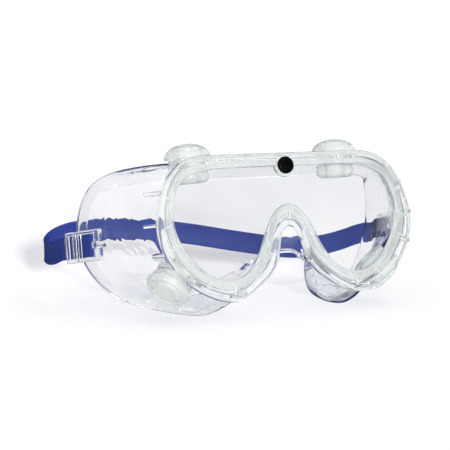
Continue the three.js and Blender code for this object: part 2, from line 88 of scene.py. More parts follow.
# Half outline from the top middle, down the wearer's left side, to the nose bridge.
# outer rim x, z | lens opening x, z | face edge x, y, z | bulge of the wall between
HALF_OUTLINE = np.array([
    [0, 24.7, 0, 18.3, 0, 38, 17.6, 0.4],
    [19, 24.7, 19, 18.3, 22, 38.4, 17.6, 0.4],
    [37, 24.7, 37, 18.1, 44.5, 40.6, 17.4, 0.6],
    [47, 24.2, 45.2, 17.1, 59, 44.4, 16.6, 1.0],
    [54.5, 21.8, 51.2, 15.2, 71.5, 48.6, 14.6, 1.8],
    [60.5, 17, 55.9, 12.3, 80.4, 52.4, 10.2, 2.4],
    [65, 10, 59.3, 7.8, 85.8, 55.2, 2.8, 2.6],
    [68.4, 0.5, 61.4, 0.3, 88.6, 57.2, -8, 2.5],
    [69.8, -9, 61.6, -8.3, 89, 57.6, -19, 2.5],
    [67.8, -19.5, 58.9, -16.4, 86.6, 56.8, -30, 2.0],
    [62.5, -28.8, 54.4, -23.4, 81, 53.6, -40.3, 0],
    [55.5, -35.8, 48.9, -29.4, 72.2, 47.8, -48.8, -2],
    [47.5, -40.9, 43, -32.7, 62, 41, -53.6, 1.0],
    [40, -43.7, 37.5, -34.3, 52, 35.5, -56, 4.2],
    [33, -44.6, 32, -34.3, 43, 31.8, -56.3, 5.4],
    [26.3, -42.2, 26.5, -32.4, 35, 29.6, -55.1, 4.2],
    [19.4, -37.9, 21.6, -28.6, 27.4, 26.4, -50.4, 1.7],
    [13, -33.2, 18, -23.6, 22, 21.6, -43.8, 0.5],
    [8.7, -27.6, 15.4, -18.8, 17.6, 15.2, -36.8, 0],
    [6.9, -21.4, 12.6, -12.8, 14, 8.8, -29.8, 0],
    [5.3, -15.3, 8.9, -6.5, 9.8, 4.2, -25.8, 0],
    [2.9, -11.6, 4.6, -1.7, 5, 2.2, -23.3, 0],
    [0, -10.5, 0, 0, 0, 1.8, -22.7, 0],
], float)

# rim section from the slot's front, over the rim, to its back: share of width, depth, rounding
RIM_SECTION = [
    (0, SLOT_FRONT, 0.2), (0, 0.35, 0.5), (0.07, 1.1, 0.5), (0.27, 1.1, 0.6), (0.36, 0.05, 0.5),
    (0.62, 0.05, 0.5), (0.70, 0.95, 0.6), (0.92, 0.95, 0.8), (1, -0.2, 0.9), (1, -3.3, 0.8),
    (0.8, -RIM_DEPTH, 0.5),
]
# inside of the rim, from the wall back to the lens slot
SLOT_SECTION = [
    (0.36, -RIM_DEPTH - 0.6, 1.2), (0.03, -RIM_DEPTH - 0.2, 0.6), (0, SLOT_BACK, 0.3),
    (SLOT_R, SLOT_BACK, 0.12), (SLOT_R, SLOT_FRONT, 0.12),
]

# cross ribs in the rim's groove, on both sides: x, z
SIDE_RIBS = [(39, 21.5), (30.5, 21.5), (64, 5.2), (65.2, -8.3), (63, -18.6), (47.3, -36.6),
             (33.7, -39.6)]
SIDE_RIB_HALF = 0.7
NOSE_RIB, NOSE_RIB_HALF = (0, -5), 0.6
BOSS = (36.2, 21.5)
# webs from the rim back onto the side wall: x, z, share of the wall they reach
WEBS = [(63.5, 7.4, 0.19), (65.6, -6.6, 0.15), (62.8, -19.5, 0.155)]

# outside of the caps, rim to middle: from the cap radius, from the pad, rounding
TOP_CAP_SKIN = [
    (-0.9, 0.2, 0.15), (-0.2, 0.2, 0.2), (0.1, 0.8, 0.3), (-0.1, 1.7, 0.5), (-1.0, 3.4, 1.2),
    (-2.5, 5.0, 1.4), (-4.6, 6.3, 1.6), (-7.2, 7.2, 1.8), (-9.6, 7.5, 2.2),
]
LOWER_CAP_SKIN = [
    (-0.7, 0.9, 0.2), (-0.6, 1.5, 0.15), (-0.1, 1.7, 0.2), (0, 2.5, 0.3), (-0.8, 2.8, 0.15),
    (-1.0, 3.3, 0.15), (-0.9, 3.5, 0.15), (-1.5, 4.3, 0.3), (-2.2, 4.5, 0.15), (-2.3, 5.0, 0.15),
    (-3.2, 5.5, 0.4), (-4.2, 5.6, 0.15), (-4.4, 6.1, 0.2), (-5.4, 6.2, 0.25), (-5.8, 5.9, 0.3),
    (-8.2, 6.2, 1.0),
]

# headband's path through a buckle: distance behind the stud, distance outwards
BUCKLE_PATH = [
    (3.3, -0.75), (3.12, 0.1), (3.3, 1.1), (4.0, 1.68), (5.2, 1.78), (9.8, 1.75), (11.4, 1.2),
    (12.8, -0.35), (14.2, -0.98), (17.2, -1.08), (22, -1.08), (27.4, -1.06), (29.6, -1.0),
]
# headband's path behind the goggles, right to left: x, y, z
HEADBAND_PATH = [
    (-94.9, 80, -29.8), (-94.92, 90, -31), (-93.6, 97.4, -29.8), (-88, 101.6, -26.2),
    (-78.5, 101.6, -22.6), (-60, 97.6, -21), (-40, 93, -21.8), (-18, 87.6, -24.4),
    (10, 81.4, -29.6), (30, 77.4, -33), (46, 75.2, -34.8), (62, 75, -34), (76, 76.8, -32),
    (86, 79.2, -30.2), (91.8, 78.4, -29.2), (94.75, 74, -28.4),
]

# directions in the lens plane, and the move from the drawing's origin to the floor's
UP = np.array([0, math.sin(TILT), math.cos(TILT)])
FRONT = np.array([0, -math.cos(TILT), math.sin(TILT)])
SHIFT = np.array([0, -CENTRE_Y, FLOOR_Z])


def vec(x, y, z):
    return np.array([x, y, z], float)


def unit(vectors):
    vectors = np.asarray(vectors, float)
    return vectors / np.linalg.norm(vectors, axis=-1, keepdims=True)


# ---------------------------------------------------------------- frames: x, y, z axes, origin
def vent_frame(centre, axis, side):
    origin, z = vec(*centre) + SHIFT, unit(vec(*axis))
    x = unit(vec(0, 1, 0) - z * z[1])
    if side < 0:
        origin, z, x = origin * [-1, 1, 1], z * [-1, 1, 1], x * [-1, 1, 1]
    return x, np.cross(z, x), z, origin


def stud_frame(side):
    """z points out of the side; heights count from the middle plane."""
    return vec(0, side, 0), vec(0, 0, 1), vec(side, 0, 0), vec(0, STUD_Y, STUD_Z) + SHIFT


def buckle_frame(side):
    """x runs back along the buckle from its stud and z points outwards."""
    cos_drop, sin_drop = math.cos(BUCKLE_DROP), math.sin(BUCKLE_DROP)

    def drop(x, y, z):
        return vec(x, y * cos_drop + z * sin_drop, -y * sin_drop + z * cos_drop)

    back = drop(side * math.sin(BUCKLE_TURN), math.cos(BUCKLE_TURN), 0)
    outwards = drop(side * math.cos(BUCKLE_TURN), -math.sin(BUCKLE_TURN), 0)
    origin = vec(side * BUCKLE_X, STUD_Y, STUD_Z) + SHIFT
    return back, np.cross(outwards, back), outwards, origin


def moved(frame, right=0, up=0, out=0):
    x, y, z, origin = frame
    return x, y, z, origin + x * right + y * up + z * out


TOP_VENT = ((41.6, 28, 19.4), (0.03, 0.17, 0.985))  # centre, axis
LOWER_VENT = ((58, 10.6, -37.2), (0.64, -0.36, -0.68))
VENTS = {
    "top_left": vent_frame(*TOP_VENT, 1),
    "top_right": vent_frame(*TOP_VENT, -1),
    "lower_left": vent_frame(*LOWER_VENT, 1),
    "lower_right": vent_frame(*LOWER_VENT, -1),
}
BUTTON = (vec(1, 0, 0), UP, FRONT, UP * BUTTON_UP + SHIFT)
BUCKLES = {side: buckle_frame(side) for side in (-1, 1)}

# ---------------------------------------------------------------- outline
LOOP = np.vstack([HALF_OUTLINE, HALF_OUTLINE[-2:0:-1] * [-1, 1, -1, 1, -1, 1, 1, 1]])
STATIONS = len(LOOP)


def loop_knots():
    """Distances along the loop, shared between the outer rim and the face edge."""
    knots = [0.0]
    for i in range(STATIONS):
        here, there = LOOP[i], LOOP[(i + 1) % STATIONS]
        rim_step = math.hypot(here[0] - there[0], here[1] - there[1])
        face_step = float(np.linalg.norm(here[4:7] - there[4:7]))
        knots.append(knots[-1] + 0.55 * rim_step + 0.45 * face_step)
    return np.array(knots)


KNOTS = loop_knots()
TOTAL = KNOTS[-1]


def outline(along):
    """Outline rows at distances along the loop, on a smooth cubic through the stations."""
    along = np.atleast_1d(np.asarray(along, float)) % TOTAL
    i = np.clip(np.searchsorted(KNOTS, along, side="right") - 1, 0, STATIONS - 1)

    def knot(j):
        return KNOTS[j % STATIONS] + TOTAL * np.floor_divide(j, STATIONS)

    k0, k1, k2, k3 = knot(i - 1), knot(i), knot(i + 1), knot(i + 2)
    step = k2 - k1
    s = ((along - k1) / step)[:, None]
    p0, p1, p2, p3 = (LOOP[(i + d) % STATIONS] for d in (-1, 0, 1, 2))
    step = step[:, None]
    return ((1 + 2 * s) * (1 - s) ** 2 * p1
            + s * (1 - s) ** 2 * step * (p2 - p0) / (k2 - k0)[:, None]
            + s * s * (3 - 2 * s) * p2
            + s * s * (s - 1) * step * (p3 - p1) / (k3 - k1)[:, None])


def rim(along, share, depth):
    """Points on the tilted rim: share 0 is the lens opening and 1 the outside."""
    outer_x, outer_z, open_x, open_z = outline(along)[:, :4].T
    x = open_x + (outer_x - open_x) * share
    up = (open_z + (outer_z - open_z) * share) / math.cos(TILT)
    return np.stack([x, 0 * x, 0 * x], 1) + up[:, None] * UP + FRONT * depth


def rim_width(along):
    outer_x, outer_z, open_x, open_z = outline(along)[:, :4].T
    return np.hypot(outer_x - open_x, (outer_z - open_z) / math.cos(TILT))


def outward(along):
    return unit(rim(along, 1, 0) - rim(along, 0, 0))


def wall(along, share):
    """Points on the outside of the wall: share 0 is at the rim and 1 at the face edge."""
    rows = outline(along)
    start = rim(along, 0.64, -RIM_DEPTH + 0.2)
    bulge = (rows[:, 7] * 4 * share * (1 - share))[:, None]
    return start + (rows[:, 4:7] - start) * share + outward(along) * bulge


def wall_frame(along, share):
    """Points on the wall, their directions to the face and their outward normals."""
    around = wall(along + 0.4, share) - wall(along - 0.4, share)
    to_face = wall(along, share + 0.01) - wall(along, share - 0.01)
    normal = unit(np.cross(around, to_face))
    flip = np.where((normal * outward(along)).sum(1) < 0, -1, 1)
    return wall(along, share), unit(to_face), normal * flip[:, None]


def rim_station(x, z):
    """Nearest place along the rim, and a frame in mid rim with x outwards and z to the front."""
    places = np.arange(0, TOTAL, 0.25)
    middle = rim(places, 0.5, 0)
    nearest = np.argmin(np.hypot(middle[:, 0] - x, middle[:, 2] - z))
    along = np.array([float(places[nearest])])
    out = outward(along)[0]
    return along, (out, np.cross(FRONT, out), FRONT, rim(along, 0.5, 0)[0] + SHIFT)


# ---------------------------------------------------------------- meshes
def shade(ob, angle):
    mesh = ob.data
    mesh.polygons.foreach_set("use_smooth", [True] * len(mesh.polygons))
    mesh.set_sharp_from_angle(angle=math.radians(angle))
    mesh.update()


def make(name, verts, faces, angle=42):
    """Object from millimetre points; edges sharper than the angle stay sharp."""
    mesh = bpy.data.meshes.new(name)
    mesh.from_pydata([tuple(p) for p in np.asarray(verts) * MM], [], faces)
    mesh.update()
    bm = bmesh.new()
    bm.from_mesh(mesh)
    bmesh.ops.remove_doubles(bm, verts=bm.verts, dist=2e-7)
    bmesh.ops.recalc_face_normals(bm, faces=bm.faces)
    bm.to_mesh(mesh)
    bm.free()
    ob = bpy.data.objects.new(name, mesh)
    bpy.context.scene.collection.objects.link(ob)
    shade(ob, angle)
    return ob


def grid(rings, closed):
    """Skin over rings of points, joined end to end when closed and capped otherwise."""
    n, m = len(rings), len(rings[0])
    faces = []
    for i in range(n if closed else n - 1):
        here, there = i * m, ((i + 1) % n) * m
        for j in range(m):
            k = (j + 1) % m
            faces.append((here + j, there + j, there + k, here + k))
    if not closed:
        faces.append(tuple(range(m)))
        faces.append(tuple((n - 1) * m + j for j in reversed(range(m))))
    return np.concatenate(rings), faces


def rounded(corners, steps):
    """Rounds the corners of many sections at once; each corner is (points, radius)."""
    out = []
    for i, (corner, radius) in enumerate(corners):
        if radius <= 0:
            out.append(corner)
            continue
        before = corners[i - 1][0] - corner
        after = corners[(i + 1) % len(corners)][0] - corner
        shorter = np.minimum(np.linalg.norm(before, axis=1), np.linalg.norm(after, axis=1))
        reach = np.minimum(radius, 0.45 * shorter)[:, None]
        start, end = corner + unit(before) * reach, corner + unit(after) * reach
        for k in range(steps + 1):
            w = k / steps
            out.append((1 - w) ** 2 * start + 2 * w * (1 - w) * corner + w * w * end)
    return out


def lathe(profile, frame, segments=72, steps=3):
    """Solid turned about the frame's z from corners of (radius, height, rounding)."""
    x, y, z, origin = frame
    corners = [(np.array([[radius, height]], float), r) for radius, height, r in profile]
    verts, rings = [], []
    for point in rounded(corners, steps):
        radius, height = point[0]
        if radius < 1e-6:
            rings.append([len(verts)] * segments)
            verts.append(origin + z * height)
            continue
        rings.append(list(range(len(verts), len(verts) + segments)))
        for k in range(segments):
            t = 2 * math.pi * k / segments
            verts.append(origin + x * (radius * math.cos(t)) + y * (radius * math.sin(t))
                         + z * height)
    faces = []
    for here, there in zip(rings, rings[1:]):
        for k in range(segments):
            j = (k + 1) % segments
            face = tuple(dict.fromkeys((here[k], here[j], there[j], there[k])))
            if len(face) > 2:
                faces.append(face)
    return np.array(verts), faces


def rod(radius, low, high, frame, segments=72):
    return lathe([(0, low, 0), (radius, low, 0), (radius, high, 0), (0, high, 0)], frame, segments)


def round_edges(bm, width, segments=2):
    bmesh.ops.bevel(bm, geom=bm.edges[:], offset=width, segments=segments, profile=0.5,
                    affect="EDGES", clamp_overlap=True)


def block(half_x, half_y, half_z, frame, bevel=0.25, segments=2):
    """Box by half sizes, with rounded edges."""
    x, y, z, origin = frame
    bm = bmesh.new()
    bmesh.ops.create_cube(bm, size=2)
    for v in bm.verts:
        v.co = Vector((v.co.x * half_x, v.co.y * half_y, v.co.z * half_z))
    if bevel > 0:
        round_edges(bm, bevel, segments)
    bmesh.ops.recalc_face_normals(bm, faces=bm.faces)
    verts = [origin + x * v.co.x + y * v.co.y + z * v.co.z for v in bm.verts]
    faces = [tuple(v.index for v in f.verts) for f in bm.faces]
    bm.free()
    return np.array(verts), faces


def prism(corners, side, bevel):
    """Flat plate between corners + side and corners - side, with rounded edges."""
    bm = bmesh.new()
    near = [bm.verts.new(Vector(c + side)) for c in corners]
    far = [bm.verts.new(Vector(c - side)) for c in corners]
    n = len(corners)
    bm.faces.new(near)
    bm.faces.new(far[::-1])
    for i in range(n):
        j = (i + 1) % n
        bm.faces.new((near[i], far[i], far[j], near[j]))
    bmesh.ops.recalc_face_normals(bm, faces=bm.faces)
    round_edges(bm, bevel)
    bmesh.ops.recalc_face_normals(bm, faces=bm.faces)
    bm.verts.index_update()
    verts = [np.array(v.co) for v in bm.verts]
    faces = [tuple(v.index for v in f.verts) for f in bm.faces]
    bm.free()
    return np.array(verts), faces


def merge(parts):
    verts, faces, base = [], [], 0
    for part_verts, part_faces in parts:
        verts.append(part_verts)
        faces += [tuple(i + base for i in face) for face in part_faces]
        base += len(part_verts)
    return np.concatenate(verts), faces


def boolean(ob, operation, *parts):
    """Joins the parts to the object, or cuts them from it, all in one step."""
    tool = make("tool", *merge(parts))
    modifier = ob.modifiers.new("boolean", "BOOLEAN")
    modifier.object, modifier.operation = tool, operation
    # guards against a Blender that doesn't offer the manifold solver
    try:
        modifier.solver = "MANIFOLD"
    except TypeError:
        modifier.solver = "EXACT"
    deps = bpy.context.evaluated_depsgraph_get()
    mesh = bpy.data.meshes.new_from_object(ob.evaluated_get(deps), depsgraph=deps)
    ob.modifiers.clear()
    old, ob.data = ob.data, mesh
    bpy.data.meshes.remove(old)
    bpy.data.objects.remove(tool)
    if len(mesh.polygons) < 10:
        raise RuntimeError("boolean left nothing: " + operation)


# ---------------------------------------------------------------- goggle body
def lip_corners(along):
    """The roll: along its outside to the tip, then back along its inside."""
    edge, to_face, normal = wall_frame(along, 1)
    rows = outline(along)
    # the roll tightens over the nose
    near = np.where(rows[:, 6] > 0, 0,
                    np.clip((NOSE_HALF - np.abs(rows[:, 4])) / NOSE_FADE, 0, 1))
    near = (near * near * (3 - 2 * near))[:, None]
    radius = LIP_R * (1 - NOSE_LIP_CUT * near)
    end = LIP_END * (1 - NOSE_END_CUT * near)
    centre = edge - normal * radius

    def arc(r, angle):
        return centre + normal * r * math.cos(angle) + to_face * r * math.sin(angle)

    tangent = -normal * math.sin(LIP_TURN) + to_face * math.cos(LIP_TURN)
    corners = [(arc(radius, LIP_TURN * k / 10), 0) for k in range(11)]
    corners += [(arc(r, LIP_TURN) + tangent * end, 0.7) for r in (radius, radius - WALL)]
    corners += [(arc(radius - WALL, LIP_TURN * k / 6), 0) for k in range(6, -1, -1)]
    return corners


def body_corners(along):
    """The closed section: rim, wall outside, lip, wall inside and lens slot."""
    corners = [(rim(along, share, depth), r) for share, depth, r in RIM_SECTION]
    corners.append((wall(along, 0.08), 1.0))
    corners += [(wall(along, share), 0) for share in (0.2, 0.32, 0.44, 0.56, 0.68, 0.8, 0.9)]
    corners += lip_corners(along)
    for share in (0.86, 0.74, 0.62, 0.5, 0.38, 0.26, 0.12):
        outside, _, normal = wall_frame(along, share)
        corners.append((outside - normal * WALL, 0))
    corners += [(rim(along, share, depth), r) for share, depth, r in SLOT_SECTION]
    return corners


def rib_places():
    """Every cross rib: its frame, the rim's width there and its half thickness."""
    places = [(side * x, z, SIDE_RIB_HALF) for x, z in SIDE_RIBS for side in (1, -1)]
    places.append((*NOSE_RIB, NOSE_RIB_HALF))
    ribs = []
    for x, z, half in places:
        along, frame = rim_station(x, z)
        ribs.append((frame, float(rim_width(along)[0]), half))
    return ribs


def rim_boss(side):
    """Small round boss beside the upper ribs."""
    origin = rim_station(side * BOSS[0], BOSS[1])[1][3]
    profile = [(0, -1, 0), (1.1, -1, 0), (1.1, 0.7, 0.3), (0, 0.7, 0)]
    return lathe(profile, (vec(1, 0, 0), UP, FRONT, origin), 24)


def side_web(x, z, reach):
    """Thin plate from the rim's outside back onto the wall."""
    along, (out, _, _, _) = rim_station(x, z)
    far, _, far_normal = (a[0] for a in wall_frame(along, reach))
    near, _, near_normal = (a[0] for a in wall_frame(along, 0.02))
    corners = np.array([rim(along, 1, -0.5)[0] + out, far + far_normal * 1.6,
                        far - far_normal * 0.9, near - near_normal * 0.9]) + SHIFT
    half_thickness = unit(np.cross(corners[1] - corners[0], out)) * 0.85
    return prism(corners, half_thickness, bevel=0.3)


def vent_pad(frame):
    flange = VENT_PAD_R + 0.7
    shoulder = VENT_PAD_R - 0.1
    return lathe([
        (0, PAD_IN, 0), (VENT_PAD_R, PAD_IN, 0.5), (VENT_PAD_R, -1.2, 0.2), (flange, -0.9, 0.3),
        (flange, 0.2, 0.3), (shoulder, 0.5, 0.2), (shoulder, PAD_OUT, 0.4), (0, PAD_OUT, 0),
    ], frame)


def button_seat():
    return lathe([(0, SLOT_FRONT, 0), (BUTTON_SEAT_R, SLOT_FRONT, 0), (BUTTON_SEAT_R, 0.9, 0.5),
                  (0, 0.9, 0)], BUTTON)


def stud(side):
    """Headed stud that holds a buckle."""
    head = BUCKLE_X + 2.1
    return lathe([
        (0, STUD_ROOT, 0), (STUD_R, STUD_ROOT, 0), (STUD_R, head, 0), (2, head, 0.1),
        (2, head + 0.5, 0.3), (1.5, head + 0.9, 0.4), (0, head + 0.9, 0),
    ], stud_frame(side), 40)


def mark_body(mesh, ribs):
    """Attributes for the vinyl: milkier places, and a stretch of lip where the painted reflection
    lines grow wider.
    """
    points = np.empty(len(mesh.vertices) * 3)
    mesh.vertices.foreach_get("co", points)
    points = points.reshape(-1, 3) * 1000
    milk = np.zeros(len(points))
    for (x, y, z, origin), width, half in ribs:
        q = points - origin
        milk[(np.abs(q @ x) < width * 0.2) & (np.abs(q @ y) < half + 0.15)
             & (np.abs(q @ z) < 1.3)] = 1
    for x, y, z, origin in VENTS.values():
        q = points - origin
        radius, height = np.hypot(q @ x, q @ y), q @ z
        milk[(radius < VENT_PAD_R + 0.9) & (height > -1.6) & (height < PAD_OUT + 0.2)] = 0.8
    mesh.attributes.new("milk", "FLOAT", "POINT").data.foreach_set("value", milk)
    # the face edge at the top middle
    edge = wall(np.linspace(0, 22, 500), 1.0)
    edge = np.vstack([edge, edge * (-1, 1, 1)]) + SHIFT
    tree = KDTree(len(edge))
    for k, q in enumerate(edge):
        tree.insert(q, k)
    tree.balance()
    distance = np.array([tree.find(q)[2] for q in points])
    # closeness to that edge widens the painted reflection lines in the vinyl
    lip = np.clip((LIP_R + 1.6 - distance) / 1.2, 0, 1)
    mesh.attributes.new("lip", "FLOAT", "POINT").data.foreach_set("value", lip)


def goggle_body():
    along = np.arange(OUTLINE_STEPS) / OUTLINE_STEPS * TOTAL
    sections = np.stack([c + SHIFT for c in rounded(body_corners(along), 4)], 1)
    ob = make("goggle_body", *grid(list(sections), closed=True))
    ribs = rib_places()
    # ribs and the rest join apart, since overlapping parts in one step would upset the union
    boolean(ob, "UNION", *(block(width * 0.19, half, 1.0, frame, 0.3)
                           for frame, width, half in ribs))
    boolean(ob, "UNION",
            *(rim_boss(side) for side in (1, -1)),
            *(side_web(side * x, z, reach) for x, z, reach in WEBS for side in (1, -1)),
            *(vent_pad(frame) for frame in VENTS.values()),
            button_seat(),
            *(stud(side) for side in (1, -1)))
    boolean(ob, "DIFFERENCE", *(rod(VENT_HOLE_R, -12, 12, frame) for frame in VENTS.values()),
            rod(BUTTON_HOLE_R, -12, 6, BUTTON, 40))
    # flatten the underside just above the floor
    ground = (vec(1, 0, 0), vec(0, 1, 0), vec(0, 0, 1), vec(0, 0, -9.98))
    boolean(ob, "DIFFERENCE", block(120, 100, 10, ground, bevel=0))
    ob.name = "goggle_body"
    shade(ob, 38)
    mark_body(ob.data, ribs)
    return ob


# ---------------------------------------------------------------- lens
def lens():
    """Flat plate in the slot, notched from above around the button's stem."""
    along = np.arange(OUTLINE_STEPS) / OUTLINE_STEPS * TOTAL
    width = rim_width(along)
    share = SLOT_R - LENS_GAP / width
    front, back = SLOT_FRONT - LENS_GAP, SLOT_BACK + LENS_GAP
    rings = [rim(along, share - inset / width, depth) + SHIFT for inset, depth in (
        (LENS_CHAMFER, front), (0, front - LENS_CHAMFER),
        (0, back + LENS_CHAMFER), (LENS_CHAMFER, back))]
    ob = make("lens", *grid(rings, closed=False))
    boolean(ob, "DIFFERENCE", rod(LENS_NOTCH_R, -12, 6, BUTTON, 40))
    boolean(ob, "DIFFERENCE", block(LENS_NOTCH_R, 5, 6, moved(BUTTON, up=5), bevel=0))
    ob.name = "lens"
    shade(ob, 30)
    return ob


# ---------------------------------------------------------------- small turned parts
def button():
    profile = [
        (0, -4.2, 0), (1.55, -4.2, 0.3), (1.55, 1.2, 0), (BUTTON_R, 1.2, 0.25),
        (BUTTON_R, 2.3, 0.5), (BUTTON_R - 0.7, 2.9, 0.5), (0, 3.25, 0),
    ]
    return make("brow_button", *lathe(profile, BUTTON))


def vent_base(name, frame):
    """Tube through the body with a flange inside it; the top ones reach deeper."""
    deeper = 2.6 if name.startswith("top") else 0
    end = PAD_IN - 4.4 - deeper
    flange, collar, head = 9.8, PAD_IN - VENT_GAP, PAD_OUT + 3.2
    profile = [
        (VENT_BORE_R, end, 0), (8.2, end, 1.2), (flange, PAD_IN - 3.4 - deeper * 0.7, 1.0),
        (flange, PAD_IN - 2.6, 0.3), (9.3, PAD_IN - 2.3, 0.2), (9.3, PAD_IN - 1.8, 0.2),
        (flange, PAD_IN - 1.6, 0.3), (8.8, collar, 0.3), (VENT_STEM_R, collar, 0),
        (VENT_STEM_R, head, 0.3), (VENT_BORE_R, head, 0.3), (VENT_BORE_R, end, 0),
    ]
    return make("vent_base_" + name, *lathe(profile, frame, steps=4))


def vent_cap(name, frame):
    """Hollow cap over the tube; the top ones are domed and the lower ones stepped."""
    top = name.startswith("top")
    base, crown = PAD_OUT, PAD_OUT + VENT_CAP_H
    socket = VENT_STEM_R + VENT_GAP
    profile = [
        (socket, base + 1, 0), (7.8, base + 1, 0.2), (7.8, crown - 3.4, 0.3),
        (VENT_CAP_R - 2.2, crown - 3.4, 0.3), (VENT_CAP_R - 1.5, base + 0.9, 0.2),
    ]
    profile += [(VENT_CAP_R + out, base + up, r)
                for out, up, r in (TOP_CAP_SKIN if top else LOWER_CAP_SKIN)]
    profile += [
        (0, crown + 1.0 if top else crown, 0), (0, crown - 1.8, 0), (socket, crown - 1.8, 0.3),
        (socket, base + 1, 0),
    ]
    return make("vent_cap_" + name, *lathe(profile, frame, 80), angle=60)


# ---------------------------------------------------------------- buckles
def buckle(name, side):
    """Ladder of four bars between two rails, with teeth on the rear two bars."""
    frame = BUCKLES[side]
    half_h, half_t = BUCKLE_H / 2, BUCKLE_T / 2
    ob = make(name, *block(2.35, half_h, half_t, moved(frame, -0.15), 0.4, 3))
    boolean(ob, "UNION", *(block(14.9, 0.9, half_t, moved(frame, 12.4, up), 0.35)
                           for up in (half_h - 0.9, 0.9 - half_h)))
    # bars: distance behind the stud, half width, distance outwards
    bars = [(GRIP_BAR, 0.9, 0.35), (MIDDLE_BAR, 0.8, 0.35), (15.4, 0.8, 0.35), (4.9, 0.8, 0)]
    boolean(ob, "UNION", *(block(half, half_h - 0.4, 0.75, moved(frame, behind, 0, out))
                           for behind, half, out in bars))
    teeth = []
    for k in range(9):
        up = (k - 4) * TOOTH_PITCH
        for behind, half, stagger in ((GRIP_BAR, 1.2, 0), (MIDDLE_BAR, 1.1, 0.3)):
            place = moved(frame, behind, up + stagger, 1.1)
            teeth.append(block(half, 0.32, 0.4, place, 0.1, 1))
    boolean(ob, "UNION", *teeth)
    boolean(ob, "DIFFERENCE", rod(STUD_R + 0.3, 70, 100, stud_frame(side), 40))
    ob.name = name
    shade(ob, 35)
    return ob


# ---------------------------------------------------------------- headband
def spline(points, count):
    """Centripetal Catmull-Rom through the points, sampled evenly by length."""
    points = np.array(points, float)
    points = np.vstack([2 * points[0] - points[1], points, 2 * points[-1] - points[-2]])
    curve = []
    for i in range(1, len(points) - 2):
        p = points[i - 1:i + 3]
        t = [0.0]
        for k in range(3):
            t.append(t[-1] + max(np.linalg.norm(p[k + 1] - p[k]), 1e-6) ** 0.5)
        for s in np.linspace(t[1], t[2], 40, endpoint=False):
            a = [(t[k + 1] - s) / (t[k + 1] - t[k]) * p[k]
                 + (s - t[k]) / (t[k + 1] - t[k]) * p[k + 1] for k in range(3)]
            b = [(t[k + 2] - s) / (t[k + 2] - t[k]) * a[k]
                 + (s - t[k]) / (t[k + 2] - t[k]) * a[k + 1] for k in range(2)]
            curve.append((t[2] - s) / (t[2] - t[1]) * b[0] + (s - t[1]) / (t[2] - t[1]) * b[1])
    curve.append(points[-2])
    curve = np.array(curve)
    lengths = np.concatenate([[0], np.cumsum(np.linalg.norm(np.diff(curve, axis=0), axis=1))])
    even = np.linspace(0, lengths[-1], count)
    return np.stack([np.interp(even, lengths, curve[:, k]) for k in range(3)], 1)


def strap_path():
    ends = {}
    for side, (x, _, z, origin) in BUCKLES.items():
        end = [origin + x * behind + z * out for behind, out in BUCKLE_PATH]
        ends[side] = end + [end[-1] + unit(end[-1] - end[-2]) * 5]
    middle = [vec(*point) + SHIFT for point in HEADBAND_PATH]
    return spline(ends[-1] + middle + ends[1][::-1], 900)


def strap_section():
    """Flat band with round edges and a faint raised border: across, out."""
    half_w, half_t = STRAP_W / 2, STRAP_T / 2
    edge, border = half_t * 0.9, half_w - 1.3
    dip = half_w - 1.6
    section = []
    for side in (1, -1):
        for k in range(7):
            t = -side * math.pi / 2 + math.pi * k / 6
            section.append((side * (half_w - edge) + edge * math.cos(t), half_t * math.sin(t)))
        for across, sunk in ((border, 0), (dip, STRAP_DIP), (0, STRAP_DIP), (-dip, STRAP_DIP),
                             (-border, 0)):
            section.append((side * across, side * (half_t - sunk)))
    return section


def behind_stud(point):
    """Distance behind the nearer buckle's stud, and that buckle's upward axis."""
    x, y, _, origin = BUCKLES[1 if point[0] > 0 else -1]
    offset = point - origin
    far = 99.0
    distance = float(offset @ x) if offset @ offset < 40 ** 2 else far
    return distance, y if y[2] > 0 else -y


def strap():
    path = strap_path()
    tangent = unit(np.gradient(path, axis=0))
    up = unit(vec(0, 0, 1) - tangent * tangent[:, 2:3])
    squeeze = []
    for i, point in enumerate(path):
        behind, buckle_up = behind_stud(point)
        # inside the buckles the band stays square to the bars
        square = min(1.0, max(0.0, (33 - behind) / 4))
        up[i] = unit(up[i] * (1 - square) + buckle_up * square)
        pinched = min(max(min(behind - 12.5, 25.5 - behind) / 2, 0), 1)
        squeeze.append(1 - STRAP_SQUEEZE * pinched)
    up = unit(up - tangent * (up * tangent).sum(1)[:, None])
    out = np.cross(tangent, up)
    section = strap_section()
    rings = [np.array([point + u * across + o * thick * share for across, thick in section])
             for point, u, o, share in zip(path, up, out, squeeze)]
    return make("headband_strap", *grid(rings, closed=False), angle=50)


# ---------------------------------------------------------------- node helpers
def empty_tree(owner):
    owner.use_nodes = True
    owner.node_tree.nodes.clear()
    return owner.node_tree


def node(tree, kind, inputs=None, **properties):
    """New shader node; each input takes an output socket, a value or None to stay as it is."""
    made = tree.nodes.new("ShaderNode" + kind)
    for key, value in properties.items():
        setattr(made, key, value)
    for key, source in (inputs or {}).items():
        socket = made.inputs[key]
        if isinstance(source, bpy.types.NodeSocket):
            tree.links.new(source, socket)
        elif source is not None:
            socket.default_value = (*source, 1) if socket.type == "RGBA" else source
    return made


def calc(tree, operation, *terms):
    return node(tree, "Math", dict(enumerate(terms)), operation=operation).outputs[0]


def remap(tree, value, low=0, high=1, low_to=0, high_to=1):
    return node(tree, "MapRange", {"Value": value, "From Min": low, "From Max": high,
                                   "To Min": low_to, "To Max": high_to}).outputs["Result"]


def mix_colour(tree, share, first, second):
    return node(tree, "Mix", {0: share, 6: first, 7: second}, data_type="RGBA").outputs[2]


def mix_shader(tree, share, first, second):
    return node(tree, "MixShader", {0: share, 1: first, 2: second}).outputs["Shader"]


def noise(tree, scale, detail=3):
    place = node(tree, "TexCoord").outputs["Object"]
    return node(tree, "TexNoise", {"Scale": scale, "Detail": detail, "Roughness": 0.55,
                                   "Vector": place}).outputs["Fac"]


